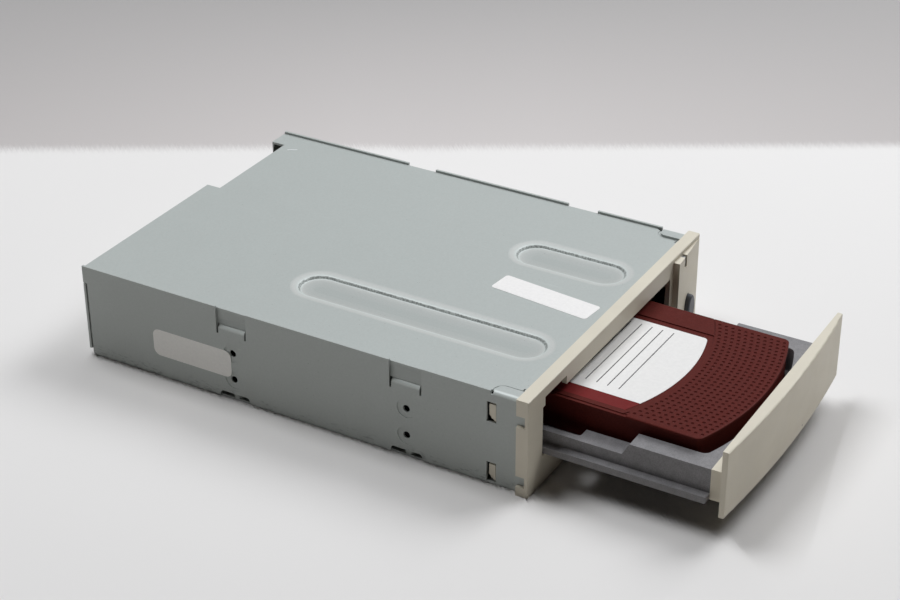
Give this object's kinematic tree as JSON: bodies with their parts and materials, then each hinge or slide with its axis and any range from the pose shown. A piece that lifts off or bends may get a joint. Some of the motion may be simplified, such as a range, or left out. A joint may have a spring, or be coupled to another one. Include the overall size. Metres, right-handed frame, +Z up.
{
  "type": "removable cartridge drive",
  "caption": "Half-height bay drive in a folded steel case, its curved-front drawer standing open with a dark red data cartridge that has an arched, dimpled grip.",
  "frame": {"origin": "centre of the bottom mounting-hole pattern, on the underside of the case", "axes": "+X right seen from the front, +Y from the bezel to the rear connectors, +Z up"},
  "size_m": [0.1488, 0.2801, 0.0422],
  "materials": {
    "case_steel": "satin zinc plate with fine specks",
    "bezel_plastic": "finely textured warm beige",
    "button_plastic": "dark grey, satin",
    "clear_plastic": "translucent",
    "tray_plastic": "speckled mid grey",
    "cartridge_plastic": "dark red, satin",
    "label_paper": "coated white paper",
    "red_paper": "coated red paper",
    "circuit_board": "olive solder resist",
    "black_plastic": "black moulding",
    "white_plastic": "natural nylon",
    "gold_contact": "gold-plated pins",
    "bright_steel": "machined or plated steel",
    "motor_can": "drawn steel can",
    "rubber": "matt black",
    "tape": "dark brown, glossy",
    "head_metal": "ground face"
  },
  "bodies": {
    "case": {"chassis_pan": "case_steel", "top_cover": "case_steel", "front_bezel": "bezel_plastic", "light_pipe": "clear_plastic", "eject_switch": "black_plastic", "front_board": "circuit_board", "front_board_screws": "bright_steel", "status_lamp": "clear_plastic", "tray_guide_left": "black_plastic", "tray_guide_right": "black_plastic", "main_board": "circuit_board", "standoffs": "bright_steel", "board_screws": "bright_steel", "board_chips": "black_plastic", "data_connector": "black_plastic", "connector_pins": "gold_contact", "jumper_block": "black_plastic", "power_connector": "white_plastic", "power_contacts": "bright_steel", "mechanism_plate": "bright_steel", "plate_screws": "bright_steel", "capstan_base": "motor_can", "head_stepper": "motor_can", "guide_rod": "bright_steel", "head_bridge": "bright_steel", "loader_bracket": "black_plastic", "floor_screws": "bright_steel", "loading_motor": "motor_can", "loading_belt": "rubber", "axle_washers": "bright_steel"},
    "drawer": {"tray": "tray_plastic", "tray_front": "bezel_plastic", "cartridge_top_shell": "cartridge_plastic", "cartridge_base": "cartridge_plastic", "cartridge_screws": "bright_steel", "cartridge_label": "label_paper", "side_strip": "red_paper", "cartridge_pins": "bright_steel", "cartridge_belt": "rubber", "tape_run": "tape"},
    "button": {"eject_button": "button_plastic", "switch_plunger": "white_plastic"},
    "capstan": {"capstan_rotor": "motor_can", "drive_puck": "rubber"},
    "head": {"head_carriage": "head_metal", "tape_head": "head_metal"},
    "screw": {"lead_screw": "bright_steel"},
    "rack_gear": {"drive_gear": "white_plastic"},
    "reduction_gear": {"belt_gear": "white_plastic"},
    "motor_shaft": {"motor_pulley": "white_plastic"},
    "reel_left": {"reel_hub_left": "white_plastic", "tape_pack_left": "tape"},
    "reel_right": {"reel_hub_right": "white_plastic", "tape_pack_right": "tape"},
    "roller": {"drive_roller": "black_plastic"},
    "corner_left": {"corner_roller_left": "white_plastic"},
    "corner_right": {"corner_roller_right": "white_plastic"},
    "door": {"access_door": "cartridge_plastic"},
    "slider": {"write_protect_slider": "white_plastic"}
  },
  "joints": [
    {"name": "tray_slide", "type": "slide", "parent": "case", "child": "drawer", "axis": [0, 1, 0], "range_m": [0, 0.0704]},
    {"name": "eject_button_press", "type": "slide", "parent": "case", "child": "button", "axis": [0, 1, 0], "range_m": [0, 0.0008], "stiffness_N_per_m": 400, "springref_m": -0.0005},
    {"name": "capstan_spin", "type": "hinge", "parent": "case", "child": "capstan", "pos_m": [-0.00839, 0.01311, 0.012], "axis": [0, 0, 1], "continuous": true},
    {"name": "head_step", "type": "slide", "parent": "case", "child": "head", "axis": [0, 0, 1], "range_m": [-0.0014, 0.0014]},
    {"name": "lead_screw_spin", "type": "hinge", "parent": "case", "child": "screw", "pos_m": [-0.02782, 0.02968, 0.02], "axis": [0, 0, 1], "range_deg": [-510, 510]},
    {"name": "rack_gear_spin", "type": "hinge", "parent": "case", "child": "rack_gear", "pos_m": [0.0491, -0.06603, 0.0105], "axis": [0, 0, 1], "range_deg": [-633, 0]},
    {"name": "reduction_gear_spin", "type": "hinge", "parent": "case", "child": "reduction_gear", "pos_m": [0.05586, -0.05331, 0.0105], "axis": [0, 0, 1], "range_deg": [0, 1896]},
    {"name": "motor_spin", "type": "hinge", "parent": "case", "child": "motor_shaft", "pos_m": [0.0596, -0.03103, 0.019], "axis": [0, 0, 1], "range_deg": [0, 5040]},
    {"name": "reel_left_spin", "type": "hinge", "parent": "drawer", "child": "reel_left", "pos_m": [-0.02922, -0.10055, 0.0225], "axis": [0, 0, 1], "continuous": true},
    {"name": "reel_right_spin", "type": "hinge", "parent": "drawer", "child": "reel_right", "pos_m": [0.01077, -0.10132, 0.0225], "axis": [0, 0, 1], "continuous": true},
    {"name": "drive_roller_spin", "type": "hinge", "parent": "drawer", "child": "roller", "pos_m": [-0.00869, -0.07294, 0.0225], "axis": [0, 0, 1], "continuous": true},
    {"name": "corner_left_spin", "type": "hinge", "parent": "drawer", "child": "corner_left", "pos_m": [-0.04301, -0.14129, 0.0225], "axis": [0, 0, 1], "continuous": true},
    {"name": "corner_right_spin", "type": "hinge", "parent": "drawer", "child": "corner_right", "pos_m": [0.02298, -0.14256, 0.0225], "axis": [0, 0, 1], "continuous": true},
    {"name": "access_door_swing", "type": "hinge", "parent": "drawer", "child": "door", "pos_m": [-0.04495, -0.06539, 0.0225], "axis": [0, 0, 1], "range_deg": [0, 95.5]},
    {"name": "write_protect_slide", "type": "slide", "parent": "drawer", "child": "slider", "axis": [0.9998, -0.0192, 0], "range_m": [0, 0.005]}
  ],
  "couplings": [
    {"joint": "rack_gear_spin", "follows": "tray_slide", "rad_per_m": -156.25},
    {"joint": "reduction_gear_spin", "follows": "tray_slide", "rad_per_m": 468.75},
    {"joint": "motor_spin", "follows": "tray_slide", "rad_per_m": 1247.6},
    {"joint": "access_door_swing", "follows": "tray_slide", "rad_per_m": 23.552},
    {"joint": "lead_screw_spin", "follows": "head_step", "rad_per_m": 6283.2},
    {"joint": "reel_right_spin", "follows": "reel_left_spin", "ratio": 1.408},
    {"joint": "drive_roller_spin", "follows": "reel_left_spin", "ratio": -3.9111},
    {"joint": "corner_left_spin", "follows": "reel_left_spin", "ratio": -4.8889},
    {"joint": "corner_right_spin", "follows": "reel_left_spin", "ratio": -4.8889}
  ]
}
